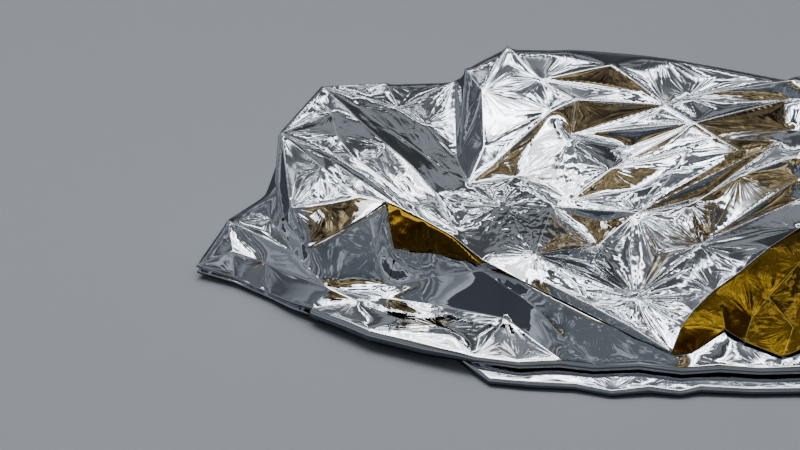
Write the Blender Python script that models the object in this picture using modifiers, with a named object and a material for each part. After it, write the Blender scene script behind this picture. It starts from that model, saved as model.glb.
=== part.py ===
"""Emergency foil blanket, folded up small and left crumpled on a flat surface.

The blanket is one sheet, 1.32 m x 2.10 m. It is folded in half across its width, with the gold side
inside, and then back and forth along its length in five loose lengths. That makes ten plies, numbered
0 at the top to 9 on the floor. Even plies lie silver side up, and odd ones gold side up.

   half-fold, at the left end:  0-1  2-3  4-5  6-7  8-9
   back fold:                   0-3 round 1-2,  then 4-7 round 5-6
   front fold:                  2-5 round 3-4,  then 6-9 round 7-8

Every ply is creased at the same named fold points, seen in plan, so no ply can pass through the next.
A table row gives a fold point's place and the height of the highest ply that it belongs to.
"""
import math

import bmesh
import bpy
from mathutils import Vector
from mathutils.geometry import delaunay_2d_cdt

# ------------------------------------------------------------------ driving dimensions, in metres
SHEET_THICKNESS = 0.001
FLOOR_PLY = SHEET_THICKNESS / 2          # mid-height of the ply that lies on the floor
BEND_STEPS = 4                           # flats round a fold
LEAST_BULGE = 0.0009                     # how far the tightest fold stands out past its plies
FOLD_ROUNDNESS = 0.42                    # a fold's bulge, as a share of the height that it spans
WIDEST_BULGE = 0.011

PLY_COUNT = 10

# Height of each ply, as a share of the heap's height, where all ten lie on one another.
PLY_SHARE = (1.00, 0.93, 0.85, 0.74, 0.63, 0.52, 0.40, 0.28, 0.15, 0.00)
# The same at the left tip, which holds only plies 2 to 5.
TIP_SHARE = {2: 1.00, 3: 0.78, 4: 0.56, 5: 0.34}
# Ply 2 at the stretch of the top ply's edge where no ply 1 lies between them.
CLOSED_SHARE = 0.94

# ------------------------------------------------------------------ fold points: name, x, y, height
# Peaks and valleys of the top ply.
TOP_FOLDS = (
    ("summit", -0.046, 0.129, 0.160), ("east_peak", 0.049, 0.097, 0.155),
    ("saddle", -0.017, 0.090, 0.143), ("fan", 0.014, 0.064, 0.135), ("crown", 0.006, 0.025, 0.115),
    ("knuckle", 0.039, -0.016, 0.106), ("apron", -0.014, -0.049, 0.086),
    ("corner", 0.058, -0.060, 0.086), ("shoulder", 0.113, -0.074, 0.062),
    ("spark", -0.034, -0.119, 0.080), ("star", 0.049, -0.150, 0.056),
    ("valley", -0.087, -0.015, 0.091), ("gather", -0.060, -0.044, 0.084),
    ("lens_top", 0.109, 0.011, 0.109), ("east_fold", 0.201, 0.050, 0.099),
    ("east_low", 0.216, 0.008, 0.062),
)
# The straight pleat that runs down from the east peak.
SEAM_FOLDS = (
    ("seam_mid", 0.096, 0.061, 0.131), ("seam_low", 0.120, 0.039, 0.124),
    ("seam_end", 0.140, 0.031, 0.113), ("seam_tail", 0.161, 0.025, 0.102),
)
# Feet of the steep facets, where each steps down to the next pleat.
STEP_FOLDS = (
    ("step_1", 0.076, 0.072, 0.138), ("step_2", 0.008, 0.041, 0.111),
    ("step_3", 0.061, 0.026, 0.106), ("step_4", 0.064, -0.028, 0.093),
    ("lens_end", 0.002, -0.045, 0.090), ("lens_side", 0.100, -0.004, 0.102),
    ("dark_step", 0.027, -0.058, 0.077), ("dark_foot", 0.024, -0.079, 0.064),
    ("lens_low", -0.028, 0.027, 0.111), ("lens_left", -0.064, 0.002, 0.100),
    ("lens_right", -0.009, 0.053, 0.129), ("cup", -0.044, -0.005, 0.092),
    ("cliff_top", -0.072, 0.077, 0.138), ("cliff_mid", -0.072, 0.019, 0.111),
    ("cliff_foot", -0.096, 0.026, 0.094), ("spur", 0.118, 0.075, 0.133),
    ("far_ridge", 0.226, 0.120, 0.129), ("far_step", 0.223, 0.108, 0.115),
    ("far_foot", 0.219, 0.074, 0.099), ("east_dip", 0.125, -0.020, 0.081),
    ("east_rib", 0.158, 0.004, 0.088), ("rib_low", 0.108, -0.037, 0.082),
    ("east_rise", 0.124, -0.062, 0.063), ("far_band", 0.218, 0.036, 0.092),
    ("far_low", 0.217, 0.021, 0.077), ("far_crest", 0.274, 0.086, 0.118),
    ("far_fold", 0.264, 0.036, 0.108), ("far_dip", 0.288, 0.124, 0.110),
)
# The long ridges and troughs that run from the left crest down to the front.
RIDGE_FOLDS = (
    ("ridge_1", -0.185, 0.073, 0.109), ("ridge_2", -0.158, 0.030, 0.105),
    ("ridge_3", -0.137, 0.003, 0.099), ("ridge_4", -0.116, -0.031, 0.088),
    ("ridge_foot", -0.099, -0.077, 0.077), ("pleat_1", -0.188, 0.099, 0.111),
    ("pleat_2", -0.154, 0.056, 0.106), ("pleat_3", -0.129, 0.030, 0.099),
    ("pleat_4", -0.106, 0.006, 0.092), ("wedge_1", -0.180, 0.112, 0.114),
    ("ridge_back", -0.149, 0.094, 0.112), ("ridge_dip", -0.124, 0.075, 0.104),
    ("band_1", -0.212, 0.090, 0.109), ("band_2", -0.206, 0.052, 0.105),
    ("band_3", -0.190, 0.018, 0.100), ("band_4", -0.156, -0.016, 0.091),
    ("band_5", -0.137, -0.038, 0.084), ("fold_1", -0.215, 0.032, 0.098),
    ("fold_2", -0.196, 0.012, 0.096), ("fold_3", -0.177, -0.007, 0.093),
    ("fold_4", -0.152, -0.031, 0.086), ("line_1", -0.242, 0.048, 0.098),
    ("line_2", -0.212, 0.020, 0.097), ("line_3", -0.183, -0.013, 0.093),
    ("cheek", -0.218, 0.008, 0.095), ("cheek_low", -0.202, -0.012, 0.091),
    ("cheek_west", -0.245, -0.028, 0.073), ("cheek_mid", -0.212, -0.035, 0.081),
    ("cheek_east", -0.182, -0.033, 0.087),
)
# The crest of the rolled hem behind the top ply's front edge.
HEM_FOLDS = (
    ("hem_left", -0.028, -0.144, 0.068), ("hem_mid", 0.007, -0.164, 0.059),
    ("hem_right", 0.041, -0.180, 0.047),
)
# The skyline, along the top of the heap's back slope.
SKYLINE_FOLDS = (
    ("sky_west", -0.161, 0.132, 0.120), ("sky_notch", -0.095, 0.137, 0.120),
    ("sky_step", -0.087, 0.110, 0.145), ("sky_mid", 0.003, 0.133, 0.157),
    ("sky_east", 0.098, 0.128, 0.151), ("sky_far", 0.231, 0.127, 0.134),
    ("sky_end", 0.284, 0.136, 0.118),
)
# The left end of the top pair of plies, where they are folded in half, from back to front.
LEFT_CREST = (
    ("crest_peak", -0.221, 0.128, 0.118), ("crest_nose", -0.258, 0.066, 0.100),
    ("crest_side", -0.260, 0.021, 0.076), ("crest_foot", -0.252, -0.026, 0.062),
)
# The top ply's front edge, from the left end to its free corner, and then its free side edge.
TOP_EDGE = (
    ("edge_low", -0.229, -0.064, 0.053), ("edge_rise", -0.201, -0.055, 0.065),
    ("edge_lift", -0.176, -0.049, 0.078), ("edge_hook", -0.160, -0.038, 0.085),
    ("edge_1", -0.148, -0.045, 0.083), ("edge_2", -0.127, -0.060, 0.079),
    ("edge_3", -0.103, -0.082, 0.076), ("edge_4", -0.079, -0.116, 0.073),
    ("edge_5", -0.044, -0.143, 0.067), ("edge_6", -0.013, -0.158, 0.058),
    ("edge_7", 0.019, -0.175, 0.049), ("edge_8", 0.049, -0.186, 0.038),
    ("tip", 0.075, -0.193, 0.030), ("side_1", 0.086, -0.170, 0.042),
    ("side_2", 0.098, -0.153, 0.046), ("side_3", 0.117, -0.130, 0.050),
    ("side_4", 0.143, -0.106, 0.054), ("side_5", 0.176, -0.070, 0.058),
    ("side_6", 0.208, -0.036, 0.057), ("side_7", 0.247, -0.019, 0.072),
    ("side_8", 0.282, 0.006, 0.080), ("side_9", 0.303, 0.053, 0.090),
    ("side_10", 0.312, 0.115, 0.090),
)
# Ply 1, gold side up: the peek on the left, and the open mouth on the right.
GOLD_PEEK = (
    ("peek_west", -0.153, -0.074, 0.058), ("peek_mid", -0.122, -0.077, 0.056),
)
GOLD_LIP = (
    ("gold_1", 0.093, -0.187, 0.026), ("gold_2", 0.122, -0.168, 0.036),
    ("gold_3", 0.138, -0.174, 0.028), ("gold_4", 0.167, -0.191, 0.024),
    ("gold_5", 0.183, -0.186, 0.029), ("gold_6", 0.232, -0.173, 0.034),
    ("gold_7", 0.278, -0.182, 0.027), ("gold_corner", 0.327, -0.165, 0.032),
)
GOLD_FOLDS = (
    ("gold_ridge", 0.122, -0.147, 0.043), ("gold_dip", 0.148, -0.147, 0.033),
    ("gold_crest", 0.166, -0.122, 0.039), ("gold_fold", 0.180, -0.162, 0.034),
    ("gold_high", 0.200, -0.081, 0.048), ("gold_back", 0.244, -0.081, 0.060),
    ("gold_far", 0.285, -0.125, 0.048), ("gold_rear", 0.291, -0.046, 0.068),
)
RIGHT_END = (
    ("end_1", 0.333, -0.104, 0.048), ("end_2", 0.329, -0.036, 0.066),
    ("end_3", 0.332, 0.034, 0.068), ("end_4", 0.328, 0.110, 0.070),
)
# Ply 2, silver side up, where it shows in front of and below the top pair.
LOWER_FOLDS = (
    ("tip_line", -0.266, -0.005, 0.049), ("pyramid", -0.169, -0.061, 0.047),
    ("pyramid_foot", -0.159, -0.080, 0.023), ("peek_ridge", -0.122, -0.089, 0.038),
    ("slate_west", -0.160, -0.094, 0.020), ("slate", -0.122, -0.102, 0.019),
    ("spoke", -0.058, -0.142, 0.030), ("fin", -0.037, -0.153, 0.051),
    ("fin_low", -0.014, -0.179, 0.036), ("brow", -0.212, -0.090, 0.029),
    ("brow_left", -0.240, -0.057, 0.042), ("strip_crest", -0.104, -0.156, 0.023),
    ("under_1", -0.186, -0.105, 0.025), ("under_2", -0.150, -0.124, 0.020),
    ("under_3", -0.114, -0.138, 0.019),
)
LOWER_LIP = (
    ("lip_3", -0.085, -0.180, 0.018), ("lip_4", -0.049, -0.189, 0.019),
    ("lip_5", -0.016, -0.189, 0.021), ("lip_6", 0.012, -0.193, 0.019),
    ("lip_7", 0.049, -0.193, 0.022), ("lip_8", 0.084, -0.198, 0.019),
    ("lip_9", 0.115, -0.196, 0.021), ("lip_10", 0.148, -0.198, 0.019),
    ("lip_11", 0.185, -0.198, 0.021), ("lip_12", 0.227, -0.198, 0.019),
    ("lip_13", 0.277, -0.195, 0.021), ("lip_corner", 0.330, -0.186, 0.019),
)
# The left tip of plies 2 to 5, past the end of the bottom plies.
TIP_FOLDS = (
    ("tip_peak", -0.306, 0.007, 0.040), ("tip_saddle", -0.298, -0.029, 0.029),
    ("tip_shoulder", -0.274, 0.041, 0.046), ("tip_ridge", -0.269, -0.041, 0.024),
)
TIP_EDGE = (
    ("tip_back", -0.272, 0.104, 0.015), ("tip_side", -0.313, 0.036, 0.015),
    ("tip_point", -0.331, -0.028, 0.014), ("tip_under_1", -0.297, -0.043, 0.011),
    ("tip_under_2", -0.264, -0.068, 0.010), ("tip_under_3", -0.242, -0.089, 0.014),
    ("tip_corner", -0.223, -0.104, 0.016),
)
TIP_LIP = (
    ("lip_0", -0.195, -0.124, 0.018), ("lip_1", -0.173, -0.141, 0.019),
    ("lip_2", -0.127, -0.161, 0.019),
)
# The front fold of plies 6 to 9, which stands a little way out under the fold above it.
BOTTOM_LIP = (
    ("foot_1", -0.073, -0.196, 0.008), ("foot_2", -0.041, -0.201, 0.008),
    ("foot_3", -0.004, -0.204, 0.008), ("foot_4", 0.025, -0.213, 0.007),
    ("foot_5", 0.056, -0.209, 0.009), ("foot_6", 0.081, -0.213, 0.007),
    ("foot_7", 0.098, -0.208, 0.009), ("foot_8", 0.139, -0.211, 0.008),
    ("foot_9", 0.182, -0.210, 0.008), ("foot_10", 0.228, -0.213, 0.007),
    ("foot_11", 0.280, -0.209, 0.008), ("foot_corner", 0.330, -0.202, 0.007),
)
# The back folds of all ten plies, from left to right.
BACK_EDGE = (
    ("back_corner", -0.205, 0.160, 0.062), ("back_1", -0.150, 0.184, 0.066),
    ("back_2", -0.095, 0.180, 0.060), ("back_3", -0.035, 0.196, 0.070),
    ("back_4", 0.025, 0.205, 0.064), ("back_5", 0.085, 0.208, 0.072),
    ("back_6", 0.145, 0.204, 0.062), ("back_7", 0.205, 0.206, 0.070),
    ("back_8", 0.262, 0.196, 0.060), ("back_end", 0.318, 0.188, 0.064),
)

# Which ply's height each table gives.
TABLES = (
    (TOP_FOLDS, 0), (SEAM_FOLDS, 0), (STEP_FOLDS, 0), (RIDGE_FOLDS, 0), (HEM_FOLDS, 0),
    (SKYLINE_FOLDS, 0), (LEFT_CREST, 0), (TOP_EDGE, 0), (BACK_EDGE, 0),
    (GOLD_PEEK, 1), (GOLD_LIP, 1), (GOLD_FOLDS, 1), (RIGHT_END, 1),
    (LOWER_FOLDS, 2), (LOWER_LIP, 2), (BOTTOM_LIP, 6),
)
TIP_TABLES = (TIP_FOLDS, TIP_EDGE, TIP_LIP)

# Creases that run straight from one fold point to the next.
CREASES = (
    "saddle east_peak seam_mid seam_low seam_end seam_tail", "saddle step_1 seam_mid",
    "fan seam_mid", "fan step_2 seam_mid", "step_2 seam_low", "crown step_3 seam_low",
    "lens_end knuckle lens_top lens_side step_4 lens_end", "knuckle seam_end", "knuckle seam_low",
    "apron corner east_fold", "corner east_dip east_fold", "corner rib_low east_rib far_band",
    "east_rise far_low", "shoulder east_low", "spark apron", "apron dark_step corner",
    "spark dark_foot corner", "summit saddle", "summit cliff_top cliff_mid valley",
    "valley lens_left lens_right fan", "lens_left lens_low lens_right", "valley cup crown",
    "sky_notch cliff_foot valley", "sky_step cliff_top", "saddle fan",
    "crest_peak ridge_1 ridge_2 ridge_3 ridge_4 ridge_foot",
    "crest_peak pleat_1 pleat_2 pleat_3 pleat_4 valley gather", "ridge_back ridge_dip cliff_foot",
    "crest_peak wedge_1 ridge_back", "crest_peak sky_west ridge_back sky_notch",
    "crest_nose band_1 band_2 band_3 band_4 band_5 ridge_foot",
    "crest_nose fold_1 fold_2 fold_3 fold_4 edge_2", "crest_nose line_1 line_2 line_3 edge_1",
    "crest_nose cheek cheek_low cheek_east", "crest_foot cheek_west cheek_mid cheek_east edge_hook",
    "crest_nose cheek_west",
    "seam_mid spur far_ridge far_dip", "seam_low far_step far_crest", "seam_end far_foot far_fold",
    "hem_left hem_mid hem_right tip", "star shoulder",
    "star side_1", "star hem_mid",
    "edge_hook pyramid pyramid_foot peek_ridge edge_4", "pyramid edge_lift",
    "brow slate_west slate spoke lip_5", "spoke lip_3", "edge_4 fin fin_low lip_6",
    "brow under_1 tip_corner", "lip_1 strip_crest lip_3", "tip_point tip_saddle tip_ridge brow",
    "tip_peak brow_left", "tip_line brow_left brow",
    "tip_peak tip_saddle tip_under_1", "tip_peak tip_shoulder tip_back", "gold_ridge gold_2",
    "gold_dip gold_3", "gold_high gold_crest gold_dip", "gold_crest gold_fold gold_4",
)


def names(*tables):
    """The fold points of some tables, as one run of names."""
    return [row[0] for table in tables for row in table]


# Outline of each pair of plies, anticlockwise in plan. "left" is the half-fold, from the back corner to
# the front one, and "front" and "back" run from left to right.
BACK = names(BACK_EDGE)
TOP_LEFT = ["back_corner"] + names(LEFT_CREST)
LOWER_LEFT = ["back_corner"] + names(TIP_EDGE)
LOWER_FRONT = ["tip_corner"] + names(TIP_LIP, LOWER_LIP)
BOTTOM_LEFT = TOP_LEFT + ["brow_left", "brow", "under_1"]
BOTTOM_FRONT = ["under_1", "under_2", "under_3", "lip_3"] + names(BOTTOM_LIP)
END = names(RIGHT_END)

CLOSED_EDGE = ["edge_low", "edge_rise", "edge_lift", "edge_5", "edge_6", "edge_7"]
PEEK = ["cheek_west", "cheek_mid", "cheek_east", "edge_hook", "peek_west", "peek_mid", "edge_4"]
PLY_OUTLINES = {
    0: TOP_LEFT + names(TOP_EDGE) + BACK[:0:-1],
    1: TOP_LEFT + PEEK + ["spark", "star", "tip"] + names(GOLD_LIP) + END + BACK[:0:-1],
}
for ply in (2, 3, 4, 5):
    PLY_OUTLINES[ply] = LOWER_LEFT + LOWER_FRONT[1:] + ["gold_corner"] + END + BACK[:0:-1]
for ply in (6, 7, 8, 9):
    PLY_OUTLINES[ply] = (BOTTOM_LEFT + BOTTOM_FRONT[1:] + ["lip_corner", "gold_corner"] + END
                         + BACK[:0:-1])

# Half-folds: upper ply, lower ply, fold points from the back corner on, and the front fold that meets
# the half-fold at its other end.
HALF_FOLDS = (
    (0, 1, TOP_LEFT, None), (2, 3, LOWER_LEFT, LOWER_FRONT), (4, 5, LOWER_LEFT, LOWER_FRONT),
    (6, 7, BOTTOM_LEFT, BOTTOM_FRONT), (8, 9, BOTTOM_LEFT, BOTTOM_FRONT),
)
# Folds along the length: outer ply and inner ply above, inner and outer below, and fold points.
LENGTH_FOLDS = (
    (0, 1, 2, 3, BACK), (2, 3, 4, 5, LOWER_FRONT), (4, 5, 6, 7, BACK), (6, 7, 8, 9, BOTTOM_FRONT),
)


def fold_points():
    """Each fold point's place in plan, and its height on each ply that has it."""
    plan, heights = {}, {}
    for table, top_ply in TABLES:
        for name, x, y, height in table:
            plan[name] = Vector((x, y))
            rise = (height - FLOOR_PLY) / PLY_SHARE[top_ply]
            heights[name] = {ply: FLOOR_PLY + rise * PLY_SHARE[ply] for ply in range(PLY_COUNT)}
    for table in TIP_TABLES:
        for name, x, y, height in table:
            plan[name] = Vector((x, y))
            heights[name] = {ply: height * share for ply, share in TIP_SHARE.items()}
    for name in CLOSED_EDGE:
        heights[name][2] = heights[name][0] * CLOSED_SHARE
    return plan, heights


def crease_pattern(plan):
    """One set of triangles in plan, whose edges follow the creases and every ply's outline."""
    order = list(plan)
    index = {name: i for i, name in enumerate(order)}
    runs = [crease.split() for crease in CREASES]
    runs += [outline + outline[:1] for outline in PLY_OUTLINES.values()]
    runs.append(names(TOP_EDGE) + ["back_end"])
    edges = {tuple(sorted((index[a], index[b]))) for run in runs for a, b in zip(run, run[1:])}
    points, _, faces, sources, _, _ = delaunay_2d_cdt(
        [plan[name] for name in order], sorted(edges), [], 0, 1e-6)
    named = [order[source[0]] if source else None for source in sources]
    if None in named:
        crossing = [tuple(round(c, 4) for c in p) for p, n in zip(points, named) if n is None]
        raise ValueError(f"creases cross at {crossing}")
    return [tuple(named[i] for i in face) for face in faces]


def inside(point, polygon):
    """Whether a point lies inside a closed outline (even-odd rule)."""
    odd = False
    for a, b in zip(polygon, polygon[1:] + polygon[:1]):
        if (a.y > point.y) != (b.y > point.y):
            if point.x < a.x + (point.y - a.y) * (b.x - a.x) / (b.y - a.y):
                odd = not odd
    return odd


def add_plies(bm, plan, heights, triangles):
    """Each ply's points, by name, with the triangles that lie inside its outline."""
    plies = []
    for ply in range(PLY_COUNT):
        outline = [plan[name] for name in PLY_OUTLINES[ply]]
        kept = [t for t in triangles if inside(sum((plan[n] for n in t), Vector((0, 0))) / 3, outline)]
        used = dict.fromkeys(name for t in kept for name in t)
        points = {name: bm.verts.new((*plan[name], heights[name][ply])) for name in used}
        for triangle in kept:
            bm.faces.new([points[name] for name in triangle])
        plies.append(points)
    return plies


def outward(plan, run, side):
    """The direction that leads out of the heap at each point of a fold, in plan."""
    directions = []
    for i in range(len(run)):
        along = plan[run[min(i + 1, len(run) - 1)]] - plan[run[max(i - 1, 0)]]
        directions.append(Vector((along.y, -along.x)).normalized() * side)
    return directions


def off_the_end(plan, run):
    """The direction that leads past the first point of a fold, in line with it."""
    return (plan[run[0]] - plan[run[1]]).normalized()


def add_fold(bm, upper, lower, directions):
    """Join two rows of points with a round fold, and return its columns of points."""
    columns = []
    for top, bottom, way in zip(upper, lower, directions):
        span = top.co.z - bottom.co.z
        bulge = min(max(FOLD_ROUNDNESS * span, LEAST_BULGE), WIDEST_BULGE)
        column = [top]
        for step in range(1, BEND_STEPS):
            angle = math.pi * step / BEND_STEPS
            spot = top.co.lerp(bottom.co, (1 - math.cos(angle)) / 2)
            spot.xy += way * bulge * math.sin(angle)
            column.append(bm.verts.new(spot))
        columns.append(column + [bottom])
    for left, right in zip(columns, columns[1:]):
        for step in range(BEND_STEPS):
            bm.faces.new((left[step], left[step + 1], right[step + 1], right[step]))
    return columns


def folded_sheet():
    """The middle surface of the whole folded blanket, as one connected mesh."""
    plan, heights = fold_points()
    bm = bmesh.new()
    plies = add_plies(bm, plan, heights, crease_pattern(plan))

    half_folds = {}
    for above, below, run, front_run in HALF_FOLDS:
        directions = outward(plan, run, 1)
        directions[0] = off_the_end(plan, BACK)
        if front_run:
            directions[-1] = off_the_end(plan, front_run)
        upper = [plies[above][name] for name in run]
        lower = [plies[below][name] for name in run]
        half_folds[above] = add_fold(bm, upper, lower, directions)

    # A length fold takes in the whole edge of a pair: outer ply, end of the half-fold, inner ply.
    for outer_above, inner_above, inner_below, outer_below, run in LENGTH_FOLDS:
        at_back = run is BACK
        directions = outward(plan, run, -1 if at_back else 1)
        corner = 0 if at_back else -1
        above = half_folds[outer_above][corner][1:-1]
        below = half_folds[inner_below][corner][1:-1]
        upper = [plies[outer_above][name] for name in run[::-1]] + above
        upper += [plies[inner_above][name] for name in run]
        lower = [plies[outer_below][name] for name in run[::-1]] + below[::-1]
        lower += [plies[inner_below][name] for name in run]
        add_fold(bm, upper, lower, directions[::-1] + [directions[0]] * len(above) + directions)
    bmesh.ops.recalc_face_normals(bm, faces=bm.faces)
    return bm


def foil_material():
    """Bright metallised film."""
    material = bpy.data.materials.new("silver_foil")
    material.use_nodes = True
    shader = material.node_tree.nodes["Principled BSDF"]
    shader.inputs["Base Color"].default_value = (0.80, 0.81, 0.83, 1.0)
    shader.inputs["Metallic"].default_value = 1.0
    shader.inputs["Roughness"].default_value = 0.12
    return material


def stand_on_origin(mesh):
    """Move the mesh so that the middle of its footprint lies over the origin, on the floor."""
    spots = [vertex.co for vertex in mesh.vertices]
    low = Vector(min(s[axis] for s in spots) for axis in range(3))
    high = Vector(max(s[axis] for s in spots) for axis in range(3))
    for vertex in mesh.vertices:
        vertex.co.x -= (low.x + high.x) / 2
        vertex.co.y -= (low.y + high.y) / 2


def main():
    for old in list(bpy.data.objects):
        bpy.data.objects.remove(old)
    collection = bpy.data.collections.new("folded_foil_blanket")
    bpy.context.scene.collection.children.link(collection)

    mesh = bpy.data.meshes.new("foil_blanket")
    bm = folded_sheet()
    bm.to_mesh(mesh)
    bm.free()
    stand_on_origin(mesh)
    mesh.materials.append(foil_material())
    blanket = bpy.data.objects.new("foil_blanket", mesh)
    collection.objects.link(blanket)

    thickness = blanket.modifiers.new("sheet_thickness", 'SOLIDIFY')
    thickness.thickness = SHEET_THICKNESS
    thickness.offset = 0.0


main()
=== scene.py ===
# %% [markdown]
# # A folded emergency foil blanket
#
# The real object is one sheet of metallised film, 1.32 m by 2.10 m, silver on one side and gold on the
# other. It is folded in half, then back and forth into five lengths, and left in a loose, crumpled heap.
# This lesson builds the sheet from named fold points, and then gives it the finish of bright foil.

# %% Load the frame
import math
import random

import bmesh
import bpy
import numpy as np
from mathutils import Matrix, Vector, noise
from mathutils.geometry import delaunay_2d_cdt


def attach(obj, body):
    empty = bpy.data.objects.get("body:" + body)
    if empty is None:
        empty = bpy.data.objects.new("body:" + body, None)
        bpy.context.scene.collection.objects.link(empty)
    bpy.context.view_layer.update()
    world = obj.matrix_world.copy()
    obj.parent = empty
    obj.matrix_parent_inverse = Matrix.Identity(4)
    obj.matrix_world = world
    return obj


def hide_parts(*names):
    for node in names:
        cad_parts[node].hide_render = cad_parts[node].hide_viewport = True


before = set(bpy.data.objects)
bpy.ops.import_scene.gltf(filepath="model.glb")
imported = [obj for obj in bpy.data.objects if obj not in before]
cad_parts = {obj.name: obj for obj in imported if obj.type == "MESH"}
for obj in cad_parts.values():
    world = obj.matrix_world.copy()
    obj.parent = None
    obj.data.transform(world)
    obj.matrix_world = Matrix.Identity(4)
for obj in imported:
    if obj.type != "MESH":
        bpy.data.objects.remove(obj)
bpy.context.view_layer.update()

# %% [markdown]
# ## The sheet's sizes
#
# A real foil blanket is only 12 microns thick. It could be a surface with no thickness, but then silver
# on one side and gold on the other would need a trick in the material. A true 12 micron shell would
# flicker, so the sheet here is a quarter of a millimetre thick, with two real sides, and reads as film.

# %% Sizes, in metres
FILM_THICKNESS = 0.00025
PLY_COUNT = 10
FLOOR_PLY = 0.0005                       # mid-height of the ply that lies on the floor
# How high each ply lies at a fold point, from the top ply down, as a share of the top ply's height.
PLY_SHARE = (1.00, 0.93, 0.85, 0.74, 0.63, 0.52, 0.40, 0.28, 0.15, 0.00)
TIP_SHARE = {2: 1.00, 3: 0.78, 4: 0.56, 5: 0.34}      # the same for the plies that make the left tip
CLOSE_GAP = 0.0012                       # between plies that lie close, from middle to middle

# %% [markdown]
# ## Fold points
#
# Crumpled foil is flat facets between sharp creases, and the creases meet at peaks and valleys. A cloth
# simulation could drop a sheet into a heap, but it wouldn't fold where this one does. So the heap is
# drawn as a map: each row below names one point where creases meet, its place seen from above, and its
# height on the highest ply that it belongs to. The plies below repeat the same creases, lower down, as
# the plies of a real folded sheet do.

# %% Fold points of the heap: name, x, y and height
TOP_FOLDS = (
    ("summit", -0.046, 0.129, 0.160), ("east_peak", 0.049, 0.097, 0.155),
    ("saddle", -0.017, 0.090, 0.143), ("fan", 0.014, 0.064, 0.135), ("crown", 0.006, 0.025, 0.115),
    ("knuckle", 0.039, -0.016, 0.106), ("apron", -0.014, -0.049, 0.086),
    ("corner", 0.058, -0.060, 0.086), ("shoulder", 0.113, -0.074, 0.062),
    ("spark", -0.034, -0.119, 0.080), ("star", 0.049, -0.150, 0.056),
    ("valley", -0.087, -0.015, 0.091), ("gather", -0.060, -0.044, 0.084),
    ("lens_top", 0.109, 0.011, 0.109), ("east_fold", 0.201, 0.050, 0.099),
    ("east_low", 0.216, 0.008, 0.062),
)
# The straight pleat that runs down from the east peak.
SEAM_FOLDS = (
    ("seam_mid", 0.096, 0.061, 0.131), ("seam_low", 0.120, 0.039, 0.124),
    ("seam_end", 0.140, 0.031, 0.113), ("seam_tail", 0.161, 0.025, 0.102),
)
# Feet of the steep facets, where each steps down to the next pleat.
STEP_FOLDS = (
    ("step_1", 0.076, 0.072, 0.138), ("step_2", 0.008, 0.038, 0.1122),
    ("step_3", 0.061, 0.026, 0.106), ("step_4", 0.064, -0.028, 0.093),
    ("lens_end", 0.002, -0.045, 0.090), ("lens_side", 0.100, -0.004, 0.102),
    ("dark_step", 0.027, -0.058, 0.077), ("dark_foot", 0.024, -0.076, 0.0625),
    ("lens_low", -0.028, 0.027, 0.111), ("lens_left", -0.064, 0.002, 0.100),
    ("lens_right", -0.009, 0.053, 0.129), ("cup", -0.044, -0.005, 0.092),
    ("cliff_top", -0.072, 0.077, 0.138), ("cliff_mid", -0.072, 0.019, 0.111),
    ("cliff_foot", -0.096, 0.026, 0.094), ("spur", 0.118, 0.075, 0.133),
    ("far_ridge", 0.226, 0.120, 0.129), ("far_step", 0.223, 0.108, 0.115),
    ("far_foot", 0.219, 0.074, 0.099), ("east_dip", 0.125, -0.020, 0.081),
    ("east_rib", 0.158, 0.004, 0.088), ("rib_low", 0.108, -0.037, 0.082),
    ("east_rise", 0.124, -0.062, 0.063), ("far_band", 0.218, 0.036, 0.092),
    ("far_low", 0.217, 0.021, 0.077), ("far_crest", 0.274, 0.086, 0.118),
    ("far_fold", 0.264, 0.036, 0.108), ("far_dip", 0.288, 0.124, 0.110),
)
print("fold points of the heap:", len(TOP_FOLDS) + len(SEAM_FOLDS) + len(STEP_FOLDS))

# %% Ridges, hem and skyline
# The long ridges and troughs that run from the left crest down to the front.
RIDGE_FOLDS = (
    ("ridge_1", -0.185, 0.073, 0.109), ("ridge_2", -0.158, 0.030, 0.105),
    ("ridge_3", -0.137, 0.003, 0.099), ("ridge_4", -0.116, -0.031, 0.088),
    ("ridge_foot", -0.099, -0.077, 0.077), ("pleat_1", -0.188, 0.099, 0.111),
    ("pleat_2", -0.154, 0.056, 0.106), ("pleat_3", -0.129, 0.030, 0.099),
    ("pleat_4", -0.106, 0.006, 0.092), ("wedge_1", -0.180, 0.112, 0.114),
    ("ridge_back", -0.149, 0.094, 0.112), ("ridge_dip", -0.124, 0.075, 0.104),
    ("band_1", -0.212, 0.090, 0.109), ("band_2", -0.206, 0.052, 0.105),
    ("band_3", -0.190, 0.018, 0.100), ("band_4", -0.156, -0.016, 0.091),
    ("band_5", -0.137, -0.038, 0.084), ("fold_1", -0.215, 0.032, 0.098),
    ("fold_2", -0.196, 0.012, 0.096), ("fold_3", -0.177, -0.007, 0.093),
    ("fold_4", -0.152, -0.031, 0.086), ("line_1", -0.242, 0.048, 0.098),
    ("line_2", -0.212, 0.020, 0.097), ("line_3", -0.183, -0.013, 0.093),
    ("cheek", -0.218, 0.008, 0.095), ("cheek_low", -0.202, -0.012, 0.091),
    ("cheek_west", -0.245, -0.028, 0.073), ("cheek_mid", -0.212, -0.033, 0.080),
    ("cheek_east", -0.182, -0.033, 0.087),
)
# The crest of the rolled hem behind the top ply's front edge.
HEM_FOLDS = (
    ("hem_left", -0.028, -0.144, 0.068), ("hem_mid", 0.007, -0.164, 0.059),
    ("hem_right", 0.041, -0.180, 0.047),
)
# The skyline, along the top of the heap's back slope.
SKYLINE_FOLDS = (
    ("sky_west", -0.161, 0.132, 0.120), ("sky_notch", -0.095, 0.137, 0.120),
    ("sky_step", -0.087, 0.110, 0.145), ("sky_mid", 0.003, 0.133, 0.157),
    ("sky_east", 0.098, 0.128, 0.151), ("sky_far", 0.231, 0.127, 0.134),
    ("sky_end", 0.284, 0.136, 0.118),
)
print("on ridges, hem and skyline:", len(RIDGE_FOLDS) + len(HEM_FOLDS) + len(SKYLINE_FOLDS))

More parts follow.
